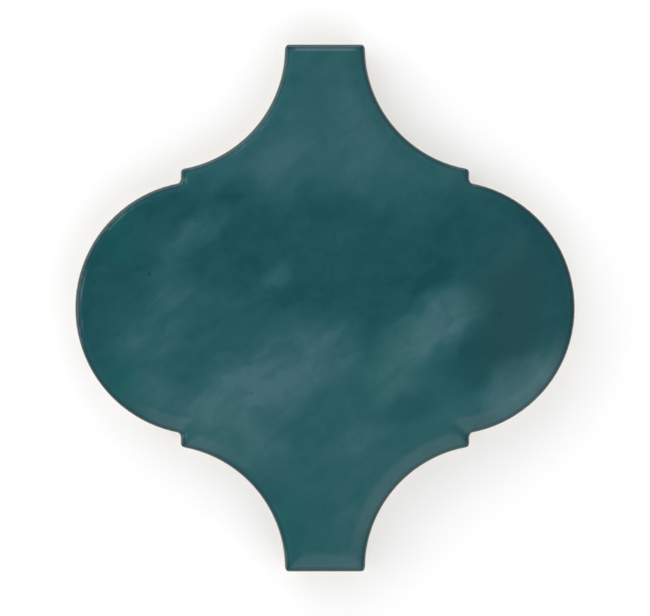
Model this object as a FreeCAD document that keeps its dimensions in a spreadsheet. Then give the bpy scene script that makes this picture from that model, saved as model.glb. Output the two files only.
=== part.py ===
import FreeCAD, Part
import math
import os
import Sketcher

# A Moroccan arabesque wall tile, also called a lantern tile: one pressed and
# glazed piece of ceramic. It lies on its back with the glazed face up.
#
#   X  across the two round bulges
#   Y  from neck end to neck end
#   Z  up, from the bond face at z = 0 to the glazed face
#
# The outline is struck with a compass. A circle makes each bulge. Above and
# below it a short straight step stands on the bulge, as the side of a shoulder,
# and from the shoulder's corner a hollow flank runs up to the narrow neck. All
# four quarters are alike, so one quarter is modelled and mirrored twice.

# Driving dimensions in millimetres: alias, size, what it measures.
DIMENSIONS = [
    ("tile_width", 73.0, "overall, across the bulges"),
    ("tile_height", 77.0, "overall, between the neck ends"),
    ("tile_thickness", 6.0, "bond face to glazed face"),
    ("bulge_radius", 18.6, "round bulge at each side"),
    ("shoulder_width", 42.2, "across the steps above and below the bulges"),
    ("shoulder_step", 2.0, "one step, from the bulge up to its corner"),
    ("neck_width", 11.8, "narrowest place of each neck"),
    ("neck_straight", 0.45, "neck end to the start of the hollow flank"),
    ("corner_radius", 0.6, "upright corners of shoulders and necks"),
    ("cushion_width", 2.7, "eased rim of the glazed face, seen from above"),
    ("cushion_radius", 7.0, "section of the eased rim"),
    ("arris_radius", 0.7, "where the rim turns down into the side"),
    ("arris_depth", 1.3, "glazed face to the top of the upright side"),
    ("foot_height", 2.6, "taper of the side above the bond face"),
    ("foot_inset", 0.35, "taper of the side, inwards at the bond face"),
    ("key_pitch", 8.0, "grooves that key the bond face into the mortar"),
    ("key_width", 4.0, "one groove"),
    ("key_depth", 0.5, "one groove"),
    ("key_margin", 3.0, "plain border left round the grooves"),
]

# How far a cutting shape runs past the faces that it cuts, in millimetres.
OVERRUN = 1.0

# Lengths under this count as nothing when edges are picked out.
TOLERANCE = 0.01

# Sketch point numbers: the start, end and centre of a line or an arc.
START, END, CENTRE = 1, 2, 3

# Places in the outline, as expressions on the spreadsheet's cells.
HALF_WIDTH = "Sizes.tile_width / 2"
HALF_HEIGHT = "Sizes.tile_height / 2"
TOP = "Sizes.tile_thickness"
SHOULDER_X = "Sizes.shoulder_width / 2"
NECK_X = "Sizes.neck_width / 2"
BULGE_X = f"({HALF_WIDTH} - Sizes.bulge_radius)"
STEP_FOOT_Y = f"sqrt(Sizes.bulge_radius^2 - ({SHOULDER_X} - {BULGE_X})^2)"
SHOULDER_Y = f"({STEP_FOOT_Y} + Sizes.shoulder_step)"
FLANK_Y = f"({HALF_HEIGHT} - Sizes.neck_straight)"
# The flank's circle touches the neck's side and passes through the shoulder.
FLANK_RADIUS = (
    f"((({SHOULDER_X} - {NECK_X})^2 + ({FLANK_Y} - {SHOULDER_Y})^2)"
    f" / (2 * ({SHOULDER_X} - {NECK_X})))"
)
FLANK_X = f"({NECK_X} + {FLANK_RADIUS})"
# The grooves in the bond face stop on an outline drawn this far inside.
INNER_BULGE_RADIUS = "(Sizes.bulge_radius - Sizes.key_margin)"


def make_sheet(doc):
    """The spreadsheet that holds each driving dimension under its alias."""
    sheet = doc.addObject("Spreadsheet::Sheet", "Sizes")
    for row, (alias, size, meaning) in enumerate(DIMENSIONS, start=1):
        sheet.set(f"A{row}", alias)
        sheet.set(f"B{row}", str(size))
        sheet.set(f"C{row}", meaning)
        sheet.setAlias(f"B{row}", alias)
    doc.recompute()
    return sheet


def origin_plane(body, role):
    """One of the body's own origin planes, such as XZ_Plane."""
    return next(part for part in body.Origin.OriginFeatures if part.Role == role)


def new_sketch(body, name, role):
    """A sketch on one of the body's origin planes."""
    sketch = body.newObject("Sketcher::SketchObject", name)
    sketch.AttachmentSupport = (origin_plane(body, role), [""])
    sketch.MapMode = "FlatFace"
    return sketch


def evaluate(sketch, x, y):
    """The sketch point that two expressions give at the sheet's sizes."""
    return FreeCAD.Vector(
        float(sketch.evalExpression(x)), float(sketch.evalExpression(y)), 0
    )


def fix_point(sketch, geometry, point, x, y):
    """Ties one point of a line or an arc to two expressions."""
    for kind, expression in (("DistanceX", x), ("DistanceY", y)):
        size = float(sketch.evalExpression(expression))
        index = sketch.addConstraint(
            Sketcher.Constraint(kind, -1, START, geometry, point, size)
        )
        sketch.setExpression(f"Constraints[{index}]", expression)


def fix_radius(sketch, arc, expression):
    """Ties an arc's radius to an expression."""
    size = float(sketch.evalExpression(expression))
    index = sketch.addConstraint(Sketcher.Constraint("Radius", arc, size))
    sketch.setExpression(f"Constraints[{index}]", expression)


def join(sketch, first, first_point, second, second_point):
    """Makes the ends of two lines or arcs meet."""
    sketch.addConstraint(
        Sketcher.Constraint("Coincident", first, first_point, second, second_point)
    )


def draw_lines(sketch, corners):
    """A run of straight lines through corners given as pairs of expressions."""
    points = [evaluate(sketch, x, y) for x, y in corners]
    lines = [
        sketch.addGeometry(Part.LineSegment(start, end))
        for start, end in zip(points, points[1:])
    ]
    for line, corner in zip(lines, corners):
        fix_point(sketch, line, START, *corner)
    for line, following in zip(lines, lines[1:]):
        join(sketch, line, END, following, START)
    return lines


def draw_arc(sketch, centre, radius, start_angle, end_angle):
    """An arc, with the numbers of its points in the order of travel.

    A sketch runs every arc anticlockwise, so an arc that is travelled the
    other way has its start point last.
    """
    circle = Part.Circle(centre, FreeCAD.Vector(0, 0, 1), radius)
    low, high = sorted((start_angle, end_angle))
    arc = sketch.addGeometry(Part.ArcOfCircle(circle, low, high))
    ends = (START, END) if start_angle < end_angle else (END, START)
    return arc, *ends


def angle_of(direction):
    """The anticlockwise angle of a sketch direction, in radians."""
    return math.atan2(direction.y, direction.x)


def draw_wall(sketch, edge, inward, closing):
    """The side of the tile in section, closed by straight lines.

    Going up from the bond face the wall leans out over the foot, stands
    upright, rolls over the arris and follows the cushion to the flat face.
    edge is the distance of the upright wall from the sketch's vertical axis.
    inward is the sign of the way from the wall into the tile. closing lists
    the corners that lead from the cushion's end round to the foot.
    """
    foot = (f"{edge} + ({inward}) * Sizes.foot_inset", "0")
    crown = (f"{edge} + ({inward}) * Sizes.cushion_width", TOP)
    shelf = f"{TOP} - Sizes.arris_depth"
    lines = draw_lines(sketch, [foot, (edge, "Sizes.foot_height"), (edge, shelf)])
    upright = lines[-1]

    arris_middle = (f"{edge} + ({inward}) * Sizes.arris_radius", shelf)
    arris_centre = evaluate(sketch, *arris_middle)
    arris_radius = float(sketch.evalExpression("Sizes.arris_radius"))
    cushion_radius = float(sketch.evalExpression("Sizes.cushion_radius"))
    crown_point = evaluate(sketch, *crown)
    cushion_centre = meet_circles(
        arris_centre, cushion_radius - arris_radius, crown_point, cushion_radius
    )
    upright_angle = math.pi if inward > 0 else 0.0
    turn_angle = angle_of(arris_centre - cushion_centre)
    crown_angle = angle_of(crown_point - cushion_centre)
    arris, arris_start, arris_end = draw_arc(
        sketch, arris_centre, arris_radius, upright_angle, turn_angle
    )
    cushion, cushion_start, cushion_end = draw_arc(
        sketch, cushion_centre, cushion_radius, turn_angle, crown_angle
    )
    fix_point(sketch, upright, END, edge, shelf)
    fix_point(sketch, arris, CENTRE, *arris_middle)
    join(sketch, upright, END, arris, arris_start)
    sketch.addConstraint(
        Sketcher.Constraint("Tangent", arris, arris_end, cushion, cushion_start)
    )
    fix_radius(sketch, cushion, "Sizes.cushion_radius")

    back = draw_lines(sketch, [crown, *closing, foot])
    join(sketch, cushion, cushion_end, back[0], START)
    join(sketch, back[-1], END, lines[0], START)


def meet_circles(first, first_radius, second, second_radius):
    """The lower of the two points where two circles cross."""
    between = second - first
    distance = between.Length
    along = (first_radius**2 - second_radius**2 + distance**2) / (2 * distance)
    across = math.sqrt(first_radius**2 - along**2)
    unit = between / distance
    normal = FreeCAD.Vector(-unit.y, unit.x, 0)
    foot = first + unit * along
    return min(foot + normal * across, foot - normal * across, key=lambda p: p.y)


def draw_wall_of_solid(sketch, edge):
    """A wall section with the tile's material between it and the axis."""
    draw_wall(sketch, edge, -1, [("0", TOP), ("0", "0")])


def draw_wall_of_cutter(sketch, edge, inward, back):
    """A wall section with the material to take away behind it, up to back."""
    above = f"{TOP} + {OVERRUN}"
    below = f"-{OVERRUN}"
    foot = f"{edge} + ({inward}) * Sizes.foot_inset"
    crown = f"{edge} + ({inward}) * Sizes.cushion_width"
    draw_wall(
        sketch,
        edge,
        inward,
        [(crown, above), (back, above), (back, below), (foot, below)],
    )


def add_feature(body, kind, name, expressions=None, **settings):
    """A feature of the body, with its settings, computed at once."""
    feature = body.newObject(f"PartDesign::{kind}", name)
    for setting, value in settings.items():
        setattr(feature, setting, value)
    for setting, expression in (expressions or {}).items():
        feature.setExpression(setting, expression)
    body.Document.recompute()
    return feature


def cut_feature(body, kind, name, **settings):
    """A feature that takes material away, tested that it does."""
    before = body.Shape.Volume
    feature = add_feature(body, kind, name, **settings)
    if feature.Shape.Volume > before - TOLERANCE:
        raise RuntimeError(f"{name} cuts nothing")
    return feature


def add_block(body):
    """A quarter of the tile in plan, up to the side of the shoulder.

    Its side walls are plain here, with the flank hollowed out of them.
    """
    sketch = new_sketch(body, "BlockOutline", "XY_Plane")
    middle, shoulder = ("0", "0"), (SHOULDER_X, SHOULDER_Y)
    base, side = draw_lines(sketch, [middle, (SHOULDER_X, "0"), shoulder])
    neck = draw_lines(
        sketch, [(NECK_X, FLANK_Y), (NECK_X, HALF_HEIGHT), ("0", HALF_HEIGHT), middle]
    )
    centre = evaluate(sketch, FLANK_X, FLANK_Y)
    radius = float(sketch.evalExpression(FLANK_RADIUS))
    to_shoulder = evaluate(sketch, *shoulder) - centre
    flank, flank_start, flank_end = draw_arc(
        sketch, centre, radius, angle_of(to_shoulder) % math.tau, math.pi
    )
    fix_point(sketch, flank, CENTRE, FLANK_X, FLANK_Y)
    sketch.addConstraint(Sketcher.Constraint("Vertical", side))
    join(sketch, side, END, flank, flank_start)
    join(sketch, flank, flank_end, neck[0], START)
    join(sketch, neck[-1], END, base, START)
    length = {"Length": TOP}
    return add_feature(body, "Pad", "Block", length, Profile=sketch)


def round_corners(body, block):
    """Rounds the upright corners of the shoulder and of the neck end."""
    sizes = body.Document.Sizes
    corners = [
        evaluate(sizes, SHOULDER_X, SHOULDER_Y),
        evaluate(sizes, NECK_X, HALF_HEIGHT),
    ]

    def is_at_corner(edge):
        ends = [vertex.Point for vertex in edge.Vertexes]
        in_plan = [FreeCAD.Vector(end.x, end.y, 0) for end in ends]
        return any(
            all(end.distanceToPoint(corner) < TOLERANCE for end in in_plan)
            for corner in corners
        )

    names = [
        f"Edge{number}"
        for number, edge in enumerate(block.Shape.Edges, start=1)
        if is_at_corner(edge)
    ]
    radius = {"Radius": "Sizes.corner_radius"}
    return add_feature(body, "Fillet", "Corners", radius, Base=(block, names))


def cut_side(body):
    """Gives the shoulder's side its foot, arris and cushion."""
    sketch = new_sketch(body, "SideSection", "XZ_Plane")
    draw_wall_of_cutter(sketch, SHOULDER_X, -1, f"{SHOULDER_X} + {OVERRUN}")
    return cut_feature(
        body,
        "Pocket",
        "Side",
        expressions={"Length": f"2 * ({HALF_HEIGHT} + {OVERRUN})"},
        Profile=sketch,
        Midplane=True,
    )


def cut_neck_end(body):
    """Gives the neck's end the same section."""
    sketch = new_sketch(body, "NeckEndSection", "YZ_Plane")
    draw_wall_of_cutter(sketch, HALF_HEIGHT, -1, f"{HALF_HEIGHT} + {OVERRUN}")
    return cut_feature(
        body,
        "Pocket",
        "NeckEnd",
        expressions={"Length": f"2 * ({SHOULDER_X} + {OVERRUN})"},
        Profile=sketch,
        Midplane=True,
    )


def cut_flank(body):
    """Gives the flank the same section, turned about the flank's axis."""
    sketch = new_sketch(body, "FlankSection", "XZ_Plane")
    sketch.setExpression("AttachmentOffset.Base.x", FLANK_X)
    sketch.setExpression("AttachmentOffset.Base.z", f"-{FLANK_Y}")
    draw_wall_of_cutter(sketch, FLANK_RADIUS, 1, "0")
    return cut_feature(
        body,
        "Groove",
        "Flank",
        Profile=sketch,
        ReferenceAxis=(sketch, ["V_Axis"]),
        Angle=360.0,
    )


def add_bulge(body):
    """The round bulge, a half turn of the wall section about its own axis.

    Most of the inner half of it is buried in the block.
    """
    sketch = new_sketch(body, "BulgeSection", "XZ_Plane")
    sketch.setExpression("AttachmentOffset.Base.x", BULGE_X)
    draw_wall_of_solid(sketch, "Sizes.bulge_radius")
    return add_feature(
        body,
        "Revolution",
        "Bulge",
        Profile=sketch,
        ReferenceAxis=(sketch, ["V_Axis"]),
        Angle=180.0,
    )


def groove_count(sizes):
    """How many grooves fit between the centre line and the bulge's border."""
    inner_radius = float(sizes.evalExpression(INNER_BULGE_RADIUS))
    bulge_x = float(sizes.evalExpression(BULGE_X))
    width, pitch = float(sizes.key_width), float(sizes.key_pitch)
    furthest_side = bulge_x + math.sqrt(inner_radius**2 - width**2)
    return int((furthest_side - width / 2) / pitch + 0.5)


def draw_groove(sketch, middle):
    """Half of one groove, from the tile's centre line to its round end."""
    near = f"{middle} - Sizes.key_width / 2"
    far = f"({middle} + Sizes.key_width / 2)"
    under_flank = (
        f"min({HALF_HEIGHT} - Sizes.key_margin; {FLANK_Y} - sqrt(max(0;"
        f" ({FLANK_RADIUS} + Sizes.key_margin)^2 - ({FLANK_X} - {far})^2)))"
    )
    on_bulge = f"sqrt(max(0; {INNER_BULGE_RADIUS}^2 - ({far} - {BULGE_X})^2))"
    tip = f"({far} < {SHOULDER_X} ? {under_flank} : {on_bulge})"
    turn = f"{tip} - Sizes.key_width / 2"
    start = f"-{OVERRUN}"
    lines = draw_lines(
        sketch, [(far, turn), (far, start), (near, start), (near, turn)]
    )
    centre = evaluate(sketch, middle, turn)
    radius = float(sketch.evalExpression("Sizes.key_width / 2"))
    arc, arc_start, arc_end = draw_arc(sketch, centre, radius, 0.0, math.pi)
    fix_point(sketch, arc, CENTRE, middle, turn)
    join(sketch, lines[0], START, arc, arc_start)
    join(sketch, lines[-1], END, arc, arc_end)
    sketch.addConstraint(Sketcher.Constraint("Horizontal", arc, arc_end, arc, CENTRE))


def cut_key_grooves(body):
    """Grooves in the bond face, side by side along the tile's length."""
    sketch = new_sketch(body, "KeyGrooveOutlines", "XY_Plane")
    for number in range(groove_count(body.Document.Sizes)):
        draw_groove(sketch, f"({number + 0.5} * Sizes.key_pitch)")
    return cut_feature(
        body,
        "Pocket",
        "KeyGrooves",
        expressions={"Length": "Sizes.key_depth"},
        Profile=sketch,
        Reversed=True,
    )


def mirror_all(body, name, role):
    """Mirrors everything made so far in one of the body's origin planes."""
    mirrored = add_feature(
        body,
        "Mirrored",
        name,
        TransformMode="Whole shape",
        MirrorPlane=(origin_plane(body, role), [""]),
    )
    body.Tip = mirrored
    return mirrored


def make_tile(doc):
    """The whole tile, from one quarter."""
    body = doc.addObject("PartDesign::Body", "Tile")
    body.Label = "arabesque_tile"
    block = add_block(body)
    round_corners(body, block)
    cut_side(body)
    cut_neck_end(body)
    cut_flank(body)
    add_bulge(body)
    cut_key_grooves(body)
    mirror_all(body, "RightAndLeft", "YZ_Plane")
    mirror_all(body, "TopAndBottom", "XZ_Plane")
    return body


def check(doc, body):
    """Stops if any object failed or the tile isn't one sound solid."""
    for item in doc.Objects:
        if "Invalid" in item.State or "Error" in item.State:
            raise RuntimeError(f"{item.Name} failed: {item.State}")
        if item.TypeId == "Sketcher::SketchObject" and not item.FullyConstrained:
            raise RuntimeError(f"{item.Name} isn't fully constrained")
    shape = body.Shape
    if shape.isNull() or not shape.isValid() or len(shape.Solids) != 1:
        raise RuntimeError(f"{body.Label} isn't one valid solid")


def main():
    doc = FreeCAD.newDocument("ArabesqueTile")
    make_sheet(doc)
    body = make_tile(doc)
    doc.recompute()
    check(doc, body)
    os.makedirs("parts", exist_ok=True)
    body.Shape.exportStep(f"parts/{body.Label}.step")
    box = body.Shape.optimalBoundingBox()
    print(
        f"{body.Label}: {box.XLength:.2f} x {box.YLength:.2f} x {box.ZLength:.2f} mm,"
        f" {body.Shape.Volume / 1000:.2f} cm3, {len(body.Shape.Faces)} faces"
    )


main()
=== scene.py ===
# %% [markdown]
# # A glazed arabesque tile
#
# The real object is one piece of pressed clay, dried, coated with coloured glaze
# and fired. The construction model already has its outline, its cushioned rim and
# the grooves in its back. What is missing is what the kiln did: a glaze that is
# never quite flat, that clouds where it lies thick or thin, and that stops in a
# soft bead part of the way down the side, where the bare clay begins.
#
# This lesson dresses that one piece. It copies the construction mesh, shapes the
# glaze on the copy, paints it with a procedural material, and sets it under
# plain studio light.

# %% Load the construction model
import math

import bmesh
import bpy
import numpy as np
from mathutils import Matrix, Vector, noise
from mathutils.kdtree import KDTree


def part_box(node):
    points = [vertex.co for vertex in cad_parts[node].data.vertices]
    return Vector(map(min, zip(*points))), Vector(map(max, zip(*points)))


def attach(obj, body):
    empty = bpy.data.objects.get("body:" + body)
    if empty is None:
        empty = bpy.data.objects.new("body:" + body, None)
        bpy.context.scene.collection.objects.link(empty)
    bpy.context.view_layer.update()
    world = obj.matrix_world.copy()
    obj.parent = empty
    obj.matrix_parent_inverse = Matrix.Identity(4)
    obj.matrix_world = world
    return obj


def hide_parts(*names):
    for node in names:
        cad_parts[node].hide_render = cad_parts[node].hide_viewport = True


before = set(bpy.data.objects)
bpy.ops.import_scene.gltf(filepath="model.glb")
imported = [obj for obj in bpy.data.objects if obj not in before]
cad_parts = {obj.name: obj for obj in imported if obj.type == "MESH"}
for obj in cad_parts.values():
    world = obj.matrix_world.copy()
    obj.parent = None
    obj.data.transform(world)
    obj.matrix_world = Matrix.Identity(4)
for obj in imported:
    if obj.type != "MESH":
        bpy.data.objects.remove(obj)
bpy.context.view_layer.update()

print("pieces in the frame:", list(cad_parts))

# %% [markdown]
# ## Sizes
#
# The real tile is about as wide as the palm of a hand, and a little thinner than a
# pencil. Blender works in metres and a tile maker in millimetres, so one constant
# turns one into the other. The tile's own places could be typed in, but they are
# read from its box in the construction model, so that the two can't disagree. It
# lies on its back, with the glazed face up.

# %% Sizes of the tile
MM = 0.001
tile_low, tile_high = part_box("arabesque_tile")
FACE_HEIGHT = tile_high.z
print("width, length, thickness in mm:", [round(side / MM, 2) for side in tile_high - tile_low])

# %% [markdown]
# ## The pressed shape
#
# The real shape comes out of a steel die in one stroke. It could be drawn again
# here, but the construction model has it exactly, so its mesh is copied. That
# mesh is made of loose triangles. Their doubled points are merged on the copy,
# because the next step needs a closed shell, and the open edges are counted to
# prove that it is one.

# %% Copy the pressed shape
SAME_POINT = 0.001 * MM


def merged_copy(node_name, name):
    """A construction node's mesh with its loose triangles joined, as a new object."""
    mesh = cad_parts[node_name].data.copy()
    mesh.materials.clear()
    shell = bmesh.new()
    shell.from_mesh(mesh)
    bmesh.ops.remove_doubles(shell, verts=shell.verts, dist=SAME_POINT)
    shell.to_mesh(mesh)
    print("open edges after merging:", sum(edge.is_boundary for edge in shell.edges))
    shell.free()
    mesh.name = name
    piece = bpy.data.objects.new(name, mesh)
    bpy.context.scene.collection.objects.link(piece)
    return piece


tile = merged_copy("arabesque_tile", "glazed_tile")

# %% [markdown]
# ## An even skin
#
# A coat of glaze is one skin over face, rim and side. The copied mesh can't carry
# its waves yet, because the flat face is only a few long triangles. They could be
# subdivided, but long triangles stay long. A remesh lays a net of small equal
# squares over everything instead. That suits a glaze, because it also rounds each
# edge by about one square, as the real coat does.

# %% Lay the even net
NET = 0.31 * MM


def remesh(piece, square):
    """Replaces the piece's mesh by an even net of squares of this size."""
    net = piece.modifiers.new("even_net", "REMESH")
    net.mode = "VOXEL"
    net.voxel_size = square
    finished = piece.evaluated_get(bpy.context.evaluated_depsgraph_get())
    fine = bpy.data.meshes.new_from_object(finished)
    piece.modifiers.clear()
    piece.data = fine
    fine.name = piece.name


remesh(tile, NET)
print("points:", len(tile.data.vertices), "triangles:", 2 * len(tile.data.polygons))

# %% [markdown]
# ## Reading and moving points
#
# The skin of a fired tile is all soft hills and hollows. They could be shaped in
# Sculpt Mode, with a brush and an afternoon, but nobody could repeat that. In code
# the same moves read all points at once, work out how far each one goes, and put
# them back. The hills come from the noise in mathutils, which is the same on
# every run.

# %% Helpers for points
SEED_STEP = Vector((17.3, 9.1, 5.7))


def read(mesh, collection, name):
    """A vector of each point of the mesh, as rows of x, y and z."""
    values = np.empty(len(mesh.vertices) * 3, dtype=np.float32)
    getattr(mesh, collection).foreach_get(name, values)
    return values.reshape(-1, 3).astype(float)


def ease(values, start, end):
    """0 before start, 1 after end, and a soft turn between them."""
    share = np.clip((values - start) / (end - start), 0.0, 1.0)
    return share * share * (3.0 - 2.0 * share)


def hills(points, length, seed):
    """Smooth noise from about -1 to 1, whose hills lie one length apart."""
    shift = SEED_STEP * seed
    return np.array([noise.noise(Vector(point) / length + shift) for point in points])


def added_hills(points, sizes, start=0.0):
    """Hills of several sizes on one another; each has a height, a length and a seed, in mm."""
    return sum((height * hills(points, length * MM, seed) for height, length, seed in sizes), start)


print("ease at 0.25, 0.5 and 0.75:", ease(np.array([0.25, 0.5, 0.75]), 0.0, 1.0).round(2))

# %% [markdown]
# ## How far in from the rim
#
# Much of what a glaze does depends on the rim: it lies thin over the cushion,
# pools just inside it and hangs on the side. The rim could be marked ring by ring,
# but a distance changes smoothly. So each point gets its distance, seen from
# above, to the nearest point of the upright side wall, which is known by its
# level normals. A KD-tree finds that neighbour quickly.

# %% Measure the inset
WALL_TILT = 0.15


def upright_wall(points, normals):
    """The points of the side wall, laid flat, in a tree that finds the nearest one."""
    wall = points[np.abs(normals[:, 2]) < WALL_TILT]
    tree = KDTree(len(wall))
    for index, (x, y, z) in enumerate(wall):
        tree.insert((x, y, 0.0), index)
    tree.balance()
    return tree


points = read(tile.data, "vertices", "co")
side_wall = upright_wall(points, read(tile.data, "vertex_normals", "vector"))
inset = np.array([side_wall.find((x, y, 0.0))[2] for x, y, z in points])
print("the deepest point lies in from the side by mm:", round(inset.max() / MM, 1))

# %% [markdown]
# ## Glaze settles in the creases
#
# Where two arcs of the outline meet, the cushioned rim has a sharp valley or a
# sharp mitre. Melted glaze fills the one and rounds the other. A bevel could do
# it, crease by crease. Smoothing the points of the face, only up and down, does
# all creases at once and leaves the outline where it is. The raw edge of the foot
# is rubbed down with a wet sponge before firing, so its points are smoothed too,
# a little and in every direction.

# %% Soften the valleys, the mitres and the foot
SETTLING_STEPS = 7
SPONGE_STEPS = 5
SMOOTHING = 0.5
FACE_EDGE = 0.45 * MM
FOOT_EDGE = 0.8 * MM

shell = bmesh.new()
shell.from_mesh(tile.data)
spots = list(zip(shell.verts, inset))
face_points = [point for point, far_in in spots if point.co.z > FACE_HEIGHT / 2 and far_in > FACE_EDGE]
foot_points = [point for point, far_in in spots if point.co.z < FOOT_EDGE and far_in < FOOT_EDGE]
for step in range(SETTLING_STEPS):
    bmesh.ops.smooth_vert(shell, verts=face_points, factor=SMOOTHING, use_axis_z=True)
every_way = dict.fromkeys(("use_axis_x", "use_axis_y", "use_axis_z"), True)
for step in range(SPONGE_STEPS):
    bmesh.ops.smooth_vert(shell, verts=foot_points, factor=SMOOTHING, **every_way)
shell.to_mesh(tile.data)
shell.free()
tile.data.update()
print("face points:", len(face_points), "foot points:", len(foot_points))

# %% [markdown]
# ## A face that is never flat
#
# A fired face swells and dips by a tenth of a millimetre or so, in waves as long
# as a finger is wide and in smaller ones. The melt also draws back a little from
# the rim and leaves a faint ridge just inside the cushion. Nobody sees the height,
# but everybody sees the reflections bend. A bump in the material could bend them
# too, but it would stop at the outline, and the exported mesh would lie flat. So
# the points are moved, and only down, to keep the thickness of the construction.

# %% Swell and hollow
WAVES = ((0.060, 21, 1), (0.035, 9, 2), (0.012, 3.6, 3))
WAVE_CREST = 0.07
RIDGE_HEIGHT = 0.05
RIDGE_START, RIDGE_END = 3.0 * MM, 4.0 * MM
WAVES_START, WAVES_FULL = 1.5 * MM, 6.0 * MM

points = read(tile.data, "vertices", "co")
normals = read(tile.data, "vertex_normals", "vector")
faces_up = ease(normals[:, 2], start=0.3, end=0.9)
drawn_back = RIDGE_HEIGHT * ease(inset, RIDGE_START, RIDGE_END)
below_crest = np.clip(WAVE_CREST - added_hills(points, WAVES), 0.0, None)
hollow = below_crest * ease(inset, WAVES_START, WAVES_FULL)
sinking = (drawn_back + hollow) * MM * faces_up
points[:, 2] -= sinking
print("deepest dip in mm:", round(sinking.max() / MM, 3))

# %% [markdown]
# ## Where the glaze stops
#
# The coat runs over the rim and down the side, and stops at an uneven line above
# the foot, which is wiped clean so that the tile doesn't stick to the kiln shelf.
# The line could be drawn as a curve round the tile, but all that anyone needs to
# know later is how far above or below it a point lies. So each point gets that
# height, and the same hills as before make the line uneven.

# %% Draw the glaze line on the side
EDGE_HEIGHT = 2.3
EDGE_WAVES = ((0.5, 10, 4), (0.2, 2.6, 5))
edge_line = added_hills(points, EDGE_WAVES, start=EDGE_HEIGHT)
over_edge = points[:, 2] / MM - edge_line
print("glaze edge from", round(edge_line.min(), 2), "to", round(edge_line.max(), 2), "mm over the back")

# %% [markdown]
# ## The bead of glaze
#
# The coat ends in a bead that stands a little proud of the bare clay. Two meshes,
# clay and coat, would meet in a seam that never closes well. One mesh with a step
# in it has no seam. The step goes inwards, on the bare part, so that the glazed
# part keeps the size of the construction. Just over the bead the coat has run a
# little thinner again.

# %% Set the bare clay back behind the bead
GLAZE_COAT = 0.22
RUN_THIN = 0.07
BEAD_HEIGHT = 0.45
BEAD_WIDTH = 0.4
NEVER_ZERO = 1e-6

outwards = normals * (1.0, 1.0, 0.0)
steepness = np.linalg.norm(outwards, axis=1)
outwards /= np.maximum(steepness, NEVER_ZERO)[:, None]
bare = 1.0 - ease(over_edge, start=-0.15, end=0.12)
bead = np.exp(-(((over_edge - BEAD_HEIGHT) / BEAD_WIDTH) ** 2))
set_back = GLAZE_COAT * bare + RUN_THIN * (1.0 - bare) * (1.0 - bead)
on_side = ease(steepness, start=0.5, end=0.95)
points -= outwards * (set_back * MM * on_side)[:, None]
print("points of bare clay:", int((bare > 0.5).sum()))

# %% [markdown]
# ## What the material needs to know
#
# Colour follows shape on a real tile: darker at the rim, bare under the glaze
# line. A shader can't measure either distance by itself. They could be painted as
# a picture, but then the mesh would need an unwrapped map. Attributes are
# simpler: a number at each point, here in millimetres, that the material reads.

# %% Store the shape and its attributes
tile.data.vertices.foreach_set("co", points.astype(np.float32).ravel())
for name, values in (("over_edge", over_edge), ("inset", inset / MM)):
    layer = tile.data.attributes.new(name, "FLOAT", "POINT")
    layer.data.foreach_set("value", values.astype(np.float32))
tile.data.shade_smooth()
tile.data.update()
print("attributes:", [layer.name for layer in tile.data.attributes])

# %% [markdown]
# ## Shader maths as plain sums
#
# The colour of a glaze is a sum of many small causes. In the shader editor such a
# sum is a lot of small boxes, and hard to read back. Written as an expression it
# is one line. The class below wraps an output socket so that plus, minus and times
# add the boxes, with the number on either side.


# %% A socket that can be added up
class Wire:
    """A node's output, used in sums like a number."""

    def __init__(self, recipe, socket):
        self.recipe = recipe
        self.socket = socket

    def math(self, operation, first, second):
        """A Math node on two numbers or wires."""
        return self.recipe.node("ShaderNodeMath", {"operation": operation}, {0: first, 1: second})

    def __add__(self, other):
        return self.math("ADD", self, other)

    def __sub__(self, other):
        return self.math("SUBTRACT", self, other)

    def __rsub__(self, other):
        return self.math("SUBTRACT", other, self)

    def __mul__(self, other):
        return self.math("MULTIPLY", self, other)

    __radd__ = __add__
    __rmul__ = __mul__


print("a wire can:", [name.strip("_") for name, entry in vars(Wire).items() if callable(entry)])

# %% [markdown]
# ## One method for every node
#
# A glaze recipe lists what goes in, and this class does the same for a material:
# it clears the tree and fills it, node by node. Each kind of node could have a
# function of its own, but one method does for all. It sets a node's own settings
# first, because some of them change which sockets the node has, and then links or
# fills the sockets.


# %% The nodes of one material
class Recipe:
    """The nodes of one material or world."""

    def __init__(self, owner):
        owner.use_nodes = True
        self.tree = owner.node_tree
        self.tree.nodes.clear()

    def node(self, kind, settings=None, sockets=None, output=0):
        """Adds a node, sets it, fills its sockets, and returns one of its outputs."""
        added = self.tree.nodes.new(kind)
        for name, value in (settings or {}).items():
            if name == "stops":
                while len(added.color_ramp.elements) < len(value):
                    added.color_ramp.elements.new(1.0)
                for stop, (position, colour) in zip(added.color_ramp.elements, value):
                    stop.position = position
                    stop.color = colour
            else:
                setattr(added, name, value)
        for name, value in (sockets or {}).items():
            if isinstance(value, Wire):
                self.tree.links.new(value.socket, added.inputs[name])
            else:
                added.inputs[name].default_value = value
        return Wire(self, added.outputs[output]) if added.outputs else None


print("a recipe can:", [name.strip("_") for name, entry in vars(Recipe).items() if callable(entry)])

# %% [markdown]
# ## Colours, masks and blends
#
# A glaze is described by where it is lighter, greener or greyer, and by how much.
# A mask is that "how much", from 0 to 1, and a blend lays one colour over another
# by it. A ramp could make a mask too, but Map Range takes both limits as plain
# numbers. Colours are written from 0 to 255, as a screen shows them, because
# that is how the eye compares them, and are turned into amounts of light here.


# %% Colours and masks
def light(red, green, blue):
    """A colour as a screen shows it, 0 to 255, turned into light by the sRGB curve."""
    shares = [value / 255 for value in (red, green, blue)]
    return tuple(s / 12.92 if s < 0.04 else ((s + 0.055) / 1.055) ** 2.4 for s in shares) + (1.0,)


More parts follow.
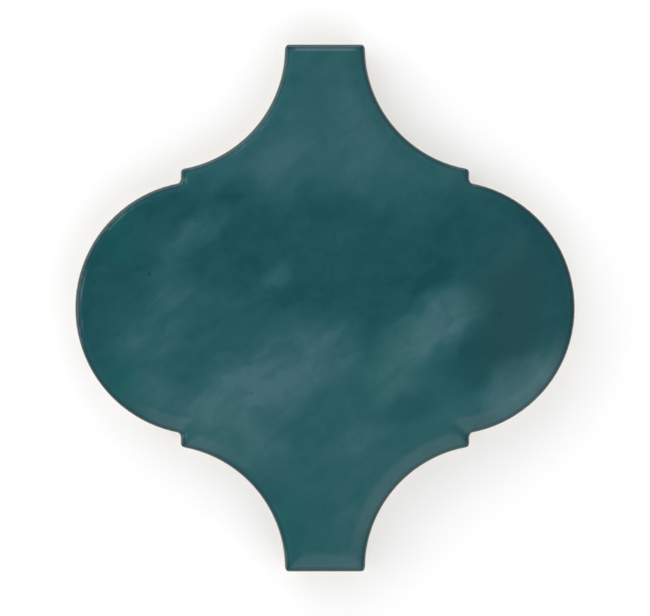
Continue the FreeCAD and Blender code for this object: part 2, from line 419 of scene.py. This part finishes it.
def mask(wire, start, end, low=0.0, high=1.0):
    """Turns start..end into low..high, softly at both ends."""
    sockets = {"Value": wire, "From Min": start, "From Max": end, "To Min": low, "To Max": high}
    return wire.recipe.node("ShaderNodeMapRange", {"interpolation_type": "SMOOTHSTEP"}, sockets)


def blend(share, first, second):
    """The first colour where the share is 0, the second where it is 1."""
    sockets = {0: share, 6: first, 7: second}
    return share.recipe.node("ShaderNodeMix", {"data_type": "RGBA"}, sockets, output=2)


print("the middle of 0 to 255 is only this share of the light:", round(light(128, 128, 128)[0], 2))

# %% [markdown]
# ## Coordinates in millimetres
#
# The pattern of a glaze is fixed to its tile. Generated coordinates would stretch
# with the tile's box, and a map would need unwrapping. Object coordinates stay with
# the tile wherever it is laid, and scaled to millimetres they make every size in
# the material a real one. Noise on them is the first ingredient, because no part
# of a glaze is quite even.

# %% Start the material
finish = bpy.data.materials.new("fired_tile")
node = Recipe(finish).node

metres = node("ShaderNodeTexCoord", output="Object")
place = node("ShaderNodeVectorMath", {"operation": "SCALE"}, {0: metres, "Scale": 1 / MM})


def tally(step):
    """Prints how far the material has grown."""
    print(step, "- nodes so far:", len(finish.node_tree.nodes))


def grain(length, vector=place, detail=2.0, roughness=0.5, colour=False):
    """Cloudy noise from 0 to 1, whose clouds lie one length apart, in mm."""
    sockets = {"Vector": vector, "Scale": 1 / length, "Detail": detail, "Roughness": roughness}
    return node("ShaderNodeTexNoise", {}, sockets, output="Color" if colour else 0)


tally("coordinates")

# %% [markdown]
# ## Coordinates that flow
#
# Where the melt ran, no border in a glaze is straight. A shape drawn on plain
# coordinates would look cut out with scissors, and painting each fringe by hand
# would take long. So a second set of coordinates is pushed about by noise, first
# in long bends and then in short ones, and what is drawn on it seems to have
# flowed. Noise seldom strays more than a third from its middle, hence the gain.

# %% Push and turn the coordinates
NOISE_MIDDLE = 0.5
NOISE_GAIN = 3
LONG_BENDS = (9.0, 1.6)
SHORT_BENDS = (2.6, 0.5)


def pushed(vector, length, distance):
    """Coordinates moved about by noise, by up to about the distance, in mm."""
    around = {0: grain(length, colour=True), 1: (NOISE_MIDDLE,) * 3}
    push = node("ShaderNodeVectorMath", {"operation": "SUBTRACT"}, around)
    gain = {0: push, "Scale": NOISE_GAIN * distance}
    scaled = node("ShaderNodeVectorMath", {"operation": "SCALE"}, gain)
    return node("ShaderNodeVectorMath", {"operation": "ADD"}, {0: vector, 1: scaled})


def turned(vector, degrees, long, wide):
    """Coordinates turned and stretched, so that a pattern runs along this angle."""
    sockets = {"Vector": vector, "Rotation": (0, 0, math.radians(degrees)), "Scale": (long, wide, wide)}
    return node("ShaderNodeMapping", {"vector_type": "TEXTURE"}, sockets)


flowing = pushed(pushed(place, *LONG_BENDS), *SHORT_BENDS)
tally("flowing coordinates")

# %% [markdown]
# ## The tone of the glaze
#
# The coat was poured, and the pour left a lighter neck, a deep band across the
# shoulders, and a middle tone towards the lower neck. Over the cushioned rim the
# tone is taken a little deeper, as painted shade. Each field could be a colour of
# its own, but then every cloud would have to know all of them. So one number, the
# tone, runs from 0 in the deepest teal to 1 in the palest cloud, and is coloured last.

# %% Broad fields
DEEP_BAND = 0.125
NECK_LIFT = 0.40
LOWER_LIFT = 0.33
CUSHION_SHADE = 0.07

along = node("ShaderNodeSeparateXYZ", {}, {0: flowing}, output="Y")
upper_neck = mask(along, start=13.3, end=20.6)
lower_half = mask(along, start=-3.0, end=-15.0)
rim = node("ShaderNodeAttribute", {"attribute_name": "inset"}, output="Fac")
# Painted shade: the tone is taken a little deeper over the cushioned rim.
cushion_shade_mask = mask(rim, start=3.4, end=1.5)
tone = DEEP_BAND + NECK_LIFT * upper_neck + LOWER_LIFT * lower_half - CUSHION_SHADE * cushion_shade_mask
tally("broad fields")

# %% [markdown]
# ## Clouds and wisps
#
# On top lie soft clouds, dragged up to the right by the pour. A cloud could be a
# noise with a high threshold, but then nobody could say where it lies. So the brush
# for them is an oval on the flowing coordinates, which has a place, a size and an
# angle. A streaky noise along the slant of the pour breaks up its inside.

# %% A brush for clouds
POUR_ANGLE = 38
STREAK_WIDTH = 2.6
STREAK_STRETCH = 3.0
OVAL_EDGE = 1.15
OVAL_CORE = 0.3
RIGHT_THROUGH = 1000

poured = turned(flowing, POUR_ANGLE, long=STREAK_STRETCH, wide=1.0)
streaks = grain(STREAK_WIDTH, poured, detail=3.0, roughness=0.55)
streaky = mask(streaks, start=0.32, end=0.64, low=0.72, high=1.12)


def cloud(x, y, long, wide, angle):
    """1 inside a turned oval and 0 outside it, soft between; sizes in mm."""
    sockets = {
        "Vector": flowing,
        "Location": (x, y, 0),
        "Rotation": (0, 0, math.radians(angle)),
        "Scale": (long / 2, wide / 2, RIGHT_THROUGH),
    }
    oval = node("ShaderNodeMapping", {"vector_type": "TEXTURE"}, sockets)
    away = node("ShaderNodeVectorMath", {"operation": "LENGTH"}, {0: oval}, output="Value")
    return mask(away, OVAL_EDGE, OVAL_CORE)


tally("streaks")

# %% [markdown]
# ## The clouds of this tile
#
# Every tile of such a glaze has its own clouds, and this one has a great cloud at
# the lower left, a long wisp to the right of it and smaller ones round about. A
# random scatter would give the kind but not the tile, so they are placed one by
# one, like strokes of a brush. A row gives a cloud's middle, across and along, its
# length and width, its angle and its strength. A hollow takes tone away.

# %% Place the clouds
CLOUDS = {
    "great cloud": (-7.8, -9.0, 26, 15, 34, 0.52),
    "foot of the great cloud": (-15.0, -14.0, 16, 8, 20, 0.08),
    "crook of the great cloud": (1.5, -6.5, 13, 10, 60, 0.40),
    "skirt at the lower left": (-14.0, -18.0, 22, 8, -26, 0.34),
    "haze on the left": (-19.0, -2.0, 30, 15, 18, 0.20),
    "drift by the left rim": (-26.0, -4.6, 12, 7, 18, 0.26),
    "lower left rim": (-26.0, -12.0, 9, 7, -50, 0.24),
    "fall on the left": (-22.4, 4.5, 20, 8, 94, 0.24),
    "streak on the left shoulder": (-18.5, 11.3, 10, 5, 32, 0.38),
    "long wisp": (16.2, -2.6, 17.5, 10.5, 31, 0.74),
    "tail of the long wisp": (10.9, -7.8, 15, 9.5, 54, 0.50),
    "end of the long wisp": (21.3, 0.6, 8, 6.5, 20, 0.30),
    "hollow over the long wisp": (16.0, 4.4, 9, 5, 25, -0.24),
    "wisp by the right rim": (28.0, -10.4, 13, 8, 42, 0.80),
    "hollow under the long wisp": (21.5, -9.2, 15, 8, 42, -0.20),
    "drift on the right": (27.5, 8.0, 9, 6, 65, 0.14),
    "fleck in the deep band": (-7.0, 4.6, 6, 4, 24, 0.34),
    "veil on the right shoulder": (12.0, 15.0, 15, 7, -12, 0.16),
    "hollow on the left shoulder": (-13.0, 17.5, 10, 5, 22, -0.26),
    "streak at the neck": (-7.0, 21.3, 14, 5, 38, 0.18),
    "glow in the neck": (4.5, 24.0, 17, 12, 80, 0.16),
    "hollow under the neck": (0.5, 16.5, 11, 9, 90, -0.14),
    "hollow at the lower right": (12.5, -14.8, 11, 5, 10, -0.26),
    "streak at the lower neck": (5.5, -19.0, 14, 5, 36, 0.14),
    "end of the lower neck": (-1.0, -34.0, 12, 16, 0, -0.10),
}
for *oval, strength in CLOUDS.values():
    tone = tone + cloud(*oval) * streaky * strength
tally(f"{len(CLOUDS)} clouds")

# %% [markdown]
# ## Mottle
#
# Between the clouds the coat is still uneven: slow drifts, streaks along the pour,
# soft blots and a fine mottle of fired bubbles. One noise with much detail has the
# same mix at every size. Four noises, each smaller than the one before, can be
# set one by one against the real surface, so that is what adds up here.

# %% Drifts, streaks, blots and mottle
DRIFT_SHARE = 0.36
STREAK_SHARE = 0.28
BLOT_SHARE = 0.28
MOTTLE_SHARE = 0.14

drift = grain(length=11.0, vector=flowing, detail=3.0) - NOISE_MIDDLE
blots = grain(length=2.4, vector=flowing, roughness=0.6) - NOISE_MIDDLE
mottle = grain(length=0.8, roughness=0.6) - NOISE_MIDDLE
tone = tone + DRIFT_SHARE * drift + STREAK_SHARE * (streaks - NOISE_MIDDLE)
tone = tone + BLOT_SHARE * blots + MOTTLE_SHARE * mottle
tally("mottle")

# %% [markdown]
# ## Colour
#
# The glaze is a deep teal that pales to grey-blue. A blend of two colours would
# pass through one straight line of tints, so a ramp with three stops turns the
# tone into colour. The face also mirrors the dim sky over it, and that adds a
# little grey to whatever the pigment is, so the mirrored light is taken off each
# colour first.

# %% Teal
MIRRORED_SKY = 0.012
DARKEST = 0.002


def pigment(red, green, blue):
    """The pigment that shows as this screen colour once the gloss has added its light."""
    seen = light(red, green, blue)
    return tuple(max(value - MIRRORED_SKY, DARKEST) for value in seen[:3]) + (1.0,)


TEAL_STOPS = [(0.0, pigment(28, 75, 81)), (0.45, pigment(46, 91, 96)), (1.0, pigment(68, 106, 112))]
teal = node("ShaderNodeValToRGB", {"stops": TEAL_STOPS}, {"Fac": tone})
tally("teal")

# %% [markdown]
# ## Green and grey places
#
# A few places lean to green, where copper shows through, and one by the right rim
# leans to grey. A ramp can't do that, because it gives equal tones equal colours.
# So these places are clouds again, and a blend lays their own colour over the
# teal. The blots make the green patchy.

# %% Lean to green and to grey
GREEN_PLACES = {
    "upper left rim": (-29.0, 10.5, 13, 9, 60),
    "lower left rim": (-29.5, -9.5, 9, 8, 120),
    "lower left shoulder": (-14.5, -18.5, 15, 7, -24),
    "under the long wisp": (10.5, -7.5, 20, 10, 62),
    "side of the lower neck": (-5.0, -31.0, 7, 12, 0),
}
GREEN_SHARE = 0.6
PATCH_BASE, PATCH_GAIN = 0.55, 1.4
GREY_PLACE = (27.5, -0.5, 26, 15, 82)
GREY_SHARE = 0.70

greener = 0.0
for oval in GREEN_PLACES.values():
    greener = cloud(*oval) + greener
patchy = greener * (PATCH_BASE + PATCH_GAIN * blots)
glaze_colour = blend(mask(patchy, start=0.0, end=1.0, high=GREEN_SHARE), teal, pigment(32, 90, 88))
glaze_colour = blend(cloud(*GREY_PLACE) * GREY_SHARE, glaze_colour, pigment(41, 75, 78))
tally(f"{len(GREEN_PLACES)} green places and a grey one")

# %% [markdown]
# ## Painted shade round the rim
#
# Where the rim turns down into the side, a thin dark line shows all round the
# tile. It is painted shade, for the edge that curves away from the light. The
# inset finds the place, and a blend darkens the glaze colour there.

# %% Paint shade round the rim
EDGE_SHADE_SHARE = 0.6
painted_edge_shade = mask(rim, start=0.70, end=0.15)
# Painted shade: a darker teal is blended in along the very edge of the rim.
glaze_colour = blend(painted_edge_shade * EDGE_SHADE_SHARE, glaze_colour, pigment(22, 50, 54))
tally("line round the rim")

# %% [markdown]
# ## Pinholes and specks
#
# Gas leaves the melt through holes that heal to tiny pits, and a few burnt grains
# show as dark specks. Both could be scattered as small pieces, but they are part of
# the skin, so a Voronoi texture scatters them in the material. Its distance is
# smallest at the middle of each cell, and a mask turns that into a dot.

# %% Pinholes and specks
SPECK_SHARE = 0.5
DOT_EDGE = 0.6
DOT_CORE = 0.2


def dots(spacing, size, vector=place):
    """1 on scattered dots of this size, about one spacing apart, in mm."""
    sockets = {"Vector": vector, "Scale": 1 / spacing}
    away = node("ShaderNodeTexVoronoi", {"feature": "F1"}, sockets, output="Distance")
    return mask(away, DOT_EDGE * size / spacing, DOT_CORE * size / spacing)


pinhole = dots(spacing=2.3, size=0.28)
speck = dots(spacing=4.1, size=0.40, vector=pushed(place, length=3.0, distance=1.0))
glaze_colour = blend(speck * SPECK_SHARE, glaze_colour, pigment(38, 50, 46))
tally("pinholes and specks")

# %% [markdown]
# ## Gloss
#
# Between its pinholes a glaze has the faint dimple of orange peel. Modelled, it
# would need a net with a hundred times as many squares, so it is a bump, with
# heights in millimetres. The gloss itself is high, as on glass, and a little
# duller on the pale clouds, where crystals have formed, so the tone drives the
# roughness too.

# %% Glaze skin
PEEL_HEIGHT = 0.010
FINE_PEEL_HEIGHT = 0.0016
PINHOLE_DEPTH = 0.02
GLOSSY, DULLER = 0.10, 0.17

peel = PEEL_HEIGHT * grain(length=1.9, detail=1.0) + FINE_PEEL_HEIGHT * grain(length=0.45, detail=1.0)
height = peel - PINHOLE_DEPTH * pinhole
dimples = node("ShaderNodeBump", {}, {"Strength": 1.0, "Distance": MM, "Height": height})
dullness = mask(tone, start=0.0, end=1.0, low=GLOSSY, high=DULLER)
glaze_sockets = {"Base Color": glaze_colour, "Roughness": dullness, "Normal": dimples, "IOR": 1.5}
glaze = node("ShaderNodeBsdfPrincipled", {}, glaze_sockets)
tally("glaze")

# %% [markdown]
# ## Bare clay
#
# The back and the foot show the fired body: pale buff, quite matt, with fine sandy
# grain and a few darker grains. It could be a second material on its own faces,
# but the glaze line would then follow the squares of the net. As a second shader
# in the same material it can end anywhere.

# %% Bisque
GRIT_HEIGHT = 0.05
GRAIN_SHARE = 0.6
MATT = 0.92

stains = mask(grain(length=6.0), start=0.35, end=0.65)
buff = blend(stains, light(222, 211, 193), light(208, 195, 174))
buff = blend(dots(spacing=1.4, size=0.28) * GRAIN_SHARE, buff, light(150, 128, 104))
grit = GRIT_HEIGHT * grain(length=0.35, detail=3.0, roughness=0.7)
sand = node("ShaderNodeBump", {}, {"Strength": 1.0, "Distance": MM, "Height": grit})
bisque = node("ShaderNodeBsdfPrincipled", {}, {"Base Color": buff, "Roughness": MATT, "Normal": sand})
tally("bisque")

# %% [markdown]
# ## Where glaze meets clay
#
# The real line is crisp, with a fine fringe where the melt crept between grains.
# The stored height over the glaze line says on which side each spot lies. A hard
# switch there would look cut, and a wide blend would look sprayed, so the turn
# takes less than a tenth of a millimetre, and a little noise frays it.

# %% Join glaze and clay at the edge line
FRINGE = 0.15
edge = node("ShaderNodeAttribute", {"attribute_name": "over_edge"}, output="Fac")
frayed = edge + FRINGE * (grain(length=0.5) - NOISE_MIDDLE)
is_glazed = mask(frayed, start=-0.05, end=0.03)
surface = node("ShaderNodeMixShader", {}, {0: is_glazed, 1: bisque, 2: glaze})
node("ShaderNodeOutputMaterial", {}, {"Surface": surface})
tile.data.materials.append(finish)
tally("fired tile")

# %% [markdown] ## The piece's place in the frame  The glaze is fused to the clay,
# so the whole tile is one piece that moves as one body. Names could be matched by
# habit, but said in full they can be checked.

# %% Give the piece its place in the frame
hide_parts("arabesque_tile")
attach(tile, "root")
print("dressed:", tile.name)

# %% [markdown]
# ## A sheet to lie on
#
# The tile lies on a sheet of paper. Under the tile the sheet has an opening, so
# that the grooved back can be looked at from below. A scaled copy of the outline
# would be too narrow in one place and too wide in another, so the opening is cut at
# one distance inside the side wall, and the foot covers its edge all round. To find
# that line, each point of a ring walks outwards from the tile's middle, always by
# its distance to the wall less the covered border, until nothing is left to walk.

# %% Cut the opening
RING_POINTS = 720
WALK_STEPS = 60
COVERED_BORDER = 1.2 * MM

sheet = bmesh.new()
ring = bmesh.ops.create_circle(sheet, cap_ends=False, segments=RING_POINTS, radius=1.0)["verts"]
for point in ring:
    reached = Vector()
    for step in range(WALK_STEPS):
        reached += point.co * (side_wall.find(reached)[2] - COVERED_BORDER)
    point.co = reached
print("opening in mm:", [round(2 * max(point.co[axis] for point in ring) / MM, 1) for axis in (0, 1)])

# %% [markdown]
# ## The sheet round the opening
#
# The border of the sheet is a square far larger than the picture. A Boolean could
# punch the opening into a plane, but it would need a solid to punch with. Filling
# the space between the square and the opening with triangles takes one step. The
# sheet lies a hair below the tile, because two faces in one plane would show
# through each other.

# %% Lay the sheet
PAPER_SIDE = 6.0
PAPER_GAP = 0.02 * MM

corners = bmesh.ops.create_grid(sheet, x_segments=1, y_segments=1, size=PAPER_SIDE / 2)["verts"]
bmesh.ops.delete(sheet, geom=corners[0].link_faces[:], context="FACES_ONLY")
bmesh.ops.triangle_fill(sheet, edges=sheet.edges, use_beauty=True, use_dissolve=False, normal=(0, 0, 1))
bmesh.ops.translate(sheet, verts=sheet.verts, vec=(0, 0, -PAPER_GAP))
paper_mesh = bpy.data.meshes.new("paper")
sheet.to_mesh(paper_mesh)
sheet.free()
paper = bpy.data.objects.new("paper", paper_mesh)
bpy.context.scene.collection.objects.link(paper)
print("paper faces:", len(paper_mesh.polygons))

# %% [markdown]
# ## White paper
#
# The paper keeps the soft shadow, which tells the eye how thick the tile is. More
# lamps would lift it to the white of a catalogue page, but they would bleach the
# tile too. So the paper is a light grey, and a little glow, which only the camera
# and the glaze's mirror image can see, does the rest.

# %% Colour the paper
PAPER_GREY = 0.80
PAPER_GLOW = 0.19


def seen_by(recipe, ray):
    """1 for rays of this kind, and 0 for all others."""
    return recipe.node("ShaderNodeLightPath", output=f"Is {ray} Ray")


white = bpy.data.materials.new("white_paper")
recipe = Recipe(white)
glowing = (seen_by(recipe, "Camera") + seen_by(recipe, "Glossy")) * PAPER_GLOW
glow = recipe.node("ShaderNodeEmission", {}, {"Strength": glowing})
matt = recipe.node("ShaderNodeBsdfDiffuse", {}, {"Color": (PAPER_GREY,) * 3 + (1.0,)})
both = recipe.node("ShaderNodeAddShader", {}, {0: matt, 1: glow})
recipe.node("ShaderNodeOutputMaterial", {}, {"Surface": both})
paper_mesh.materials.append(white)
print("nodes in the paper:", len(white.node_tree.nodes))

# %% [markdown]
# ## Places in the studio
#
# In a studio a lamp is placed by two angles: how far round the table it stands, and
# how high. Coordinates could be typed in as well, but angles are easier to change
# one at a time. Azimuth 0 is to the right of the picture, and 90 behind the tile.


# %% Point from the tile
def towards(azimuth, elevation):
    """The direction from the tile to a place in the studio, from its two angles."""
    turn, rise = math.radians(azimuth), math.radians(elevation)
    return Vector((math.cos(rise) * math.cos(turn), math.cos(rise) * math.sin(turn), math.sin(rise)))


KEY_AZIMUTH = -70
KEY_ELEVATION = 40
to_key = towards(KEY_AZIMUTH, KEY_ELEVATION)
print("main lamp towards:", [round(value, 2) for value in to_key])

# %% [markdown]
# ## Sky
#
# A glazed face shows whatever is over it, and a photographer who wants its colour
# and not the ceiling hangs a dark card over it. A card could hang in the scene
# too, but it would also take light away. Instead the dome has one look as a lamp
# and another as a mirror image, dim overhead and brighter towards the horizon.
# The image of the main lamp is drawn there as well, because a real soft box fades
# towards its border and a lamp in Blender ends sharply. Under the paper the dome is
# dimmer, so that a lamp there can draw the grooves.

# %% What the dome shows
SKY_LIGHT = 0.95
UNDER_SHARE = 0.7
MIRRORED_TOP = 0.25
MIRRORED_HORIZON = 0.55
MIRRORED_KEY = 0.85

dome = bpy.data.worlds.new("studio_dome")
bpy.context.scene.world = dome
recipe = Recipe(dome)
direction = recipe.node("ShaderNodeTexCoord", output="Generated")
upwards = recipe.node("ShaderNodeSeparateXYZ", {}, {0: direction}, output="Z")
angles = {0: direction, 1: to_key}
facing_key = recipe.node("ShaderNodeVectorMath", {"operation": "DOT_PRODUCT"}, angles, output="Value")
key_image = mask(facing_key, start=0.69, end=0.88, high=MIRRORED_KEY)
overhead = mask(upwards, start=0.35, end=0.8, low=MIRRORED_HORIZON, high=MIRRORED_TOP)
mirrored = overhead + key_image
lighting = mask(upwards, start=-0.05, end=0.0, low=UNDER_SHARE * SKY_LIGHT, high=SKY_LIGHT)
print("nodes in the dome so far:", len(dome.node_tree.nodes))

# %% [markdown]
# ## One dome for three kinds of rays
#
# A catalogue page is white behind the tile, however the tile is lit. Three worlds
# would be needed for light, mirror image and page, but a scene has only one. Light
# Path tells its rays apart: a glossy ray gets the mirror image, a ray from the
# camera gets white, and every other ray gets the light.

# %% Studio dome
to_gloss, to_camera = seen_by(recipe, "Glossy"), seen_by(recipe, "Camera")
strength = to_gloss * (mirrored - lighting) + to_camera * (1.0 - lighting) + lighting
background = recipe.node("ShaderNodeBackground", {}, {"Strength": strength})
recipe.node("ShaderNodeOutputWorld", {}, {"Surface": background})
print("nodes in the dome:", len(dome.node_tree.nodes))

# %% [markdown]
# ## Lamps
#
# Even light alone would leave the cushion flat. One very large soft box stands off
# the lower edge of the picture, a little to the right, and shades the rim. The
# dome draws its mirror image, so the box itself is hidden from the glaze. Three low
# boxes in a row behind the tile and to its left draw a thin light line on the far
# arris. A small one under the paper only reaches the back of the tile, through
# the opening, and rakes over its grooves. A sun would be simpler, but its shadows
# are hard, and soft boxes are what such a picture is taken with.


# %% Soft boxes
LAMP_DISTANCE = 1.0
BACK_AZIMUTHS = (93, 134, 175)


def soft_box(name, azimuth, elevation, width, height, radiance, in_glaze=True):
    """A round or oval lamp that faces the tile; a radiance of 1 looks white."""
    lamp = bpy.data.lights.new(name, "AREA")
    lamp.shape = "ELLIPSE"
    lamp.size = width
    lamp.size_y = height
    lamp.energy = radiance * math.pi * (math.pi / 4 * width * height)
    box = bpy.data.objects.new(name, lamp)
    box.location = towards(azimuth, elevation) * LAMP_DISTANCE
    box.rotation_euler = box.location.to_track_quat("Z", "Y").to_euler()
    box.visible_camera = False
    box.visible_glossy = in_glaze
    bpy.context.scene.collection.objects.link(box)


soft_box("key_box", KEY_AZIMUTH, KEY_ELEVATION, width=1.5, height=1.5, radiance=0.72, in_glaze=False)
for number, azimuth in enumerate(BACK_AZIMUTHS):
    soft_box(f"back_box_{number}", azimuth, elevation=17, width=0.8, height=0.75, radiance=1.45)
soft_box("rib_box", azimuth=160, elevation=-22, width=0.5, height=0.5, radiance=16.0)
print("lamps:", [lamp.name for lamp in bpy.data.lights])

# %% [markdown]
# ## Camera
#
# The tile is seen from straight above, as on a catalogue page. A short lens close
# by would show its sides, and a camera without perspective would look drawn, so a
# long lens stands far off. The picture's width at the height of the face and the
# lens give the camera's distance. The Standard view transform shows each colour as
# it is written.

# %% Look straight down
PHOTO_WIDTH, PHOTO_HEIGHT = 650, 616
TILE_SHARE = 0.86
LENS = 160.0
SENSOR = 36.0

view = bpy.data.cameras.new("camera")
view.lens = LENS
view.sensor_width = SENSOR
camera = bpy.data.objects.new("camera", view)
picture_height = (tile_high.y - tile_low.y) / TILE_SHARE
picture_width = picture_height * PHOTO_WIDTH / PHOTO_HEIGHT
camera.location = (0.0, 0.0, FACE_HEIGHT + picture_width * LENS / SENSOR)
bpy.context.scene.collection.objects.link(camera)
bpy.context.scene.camera = camera
bpy.context.scene.view_settings.view_transform = "Standard"
print("camera height in mm:", round(camera.location.z / MM))

# %% [markdown] ## The size A tile that came out too large
# wouldn't fit its place, so the dressed tile has to stay inside the box of its
# construction.
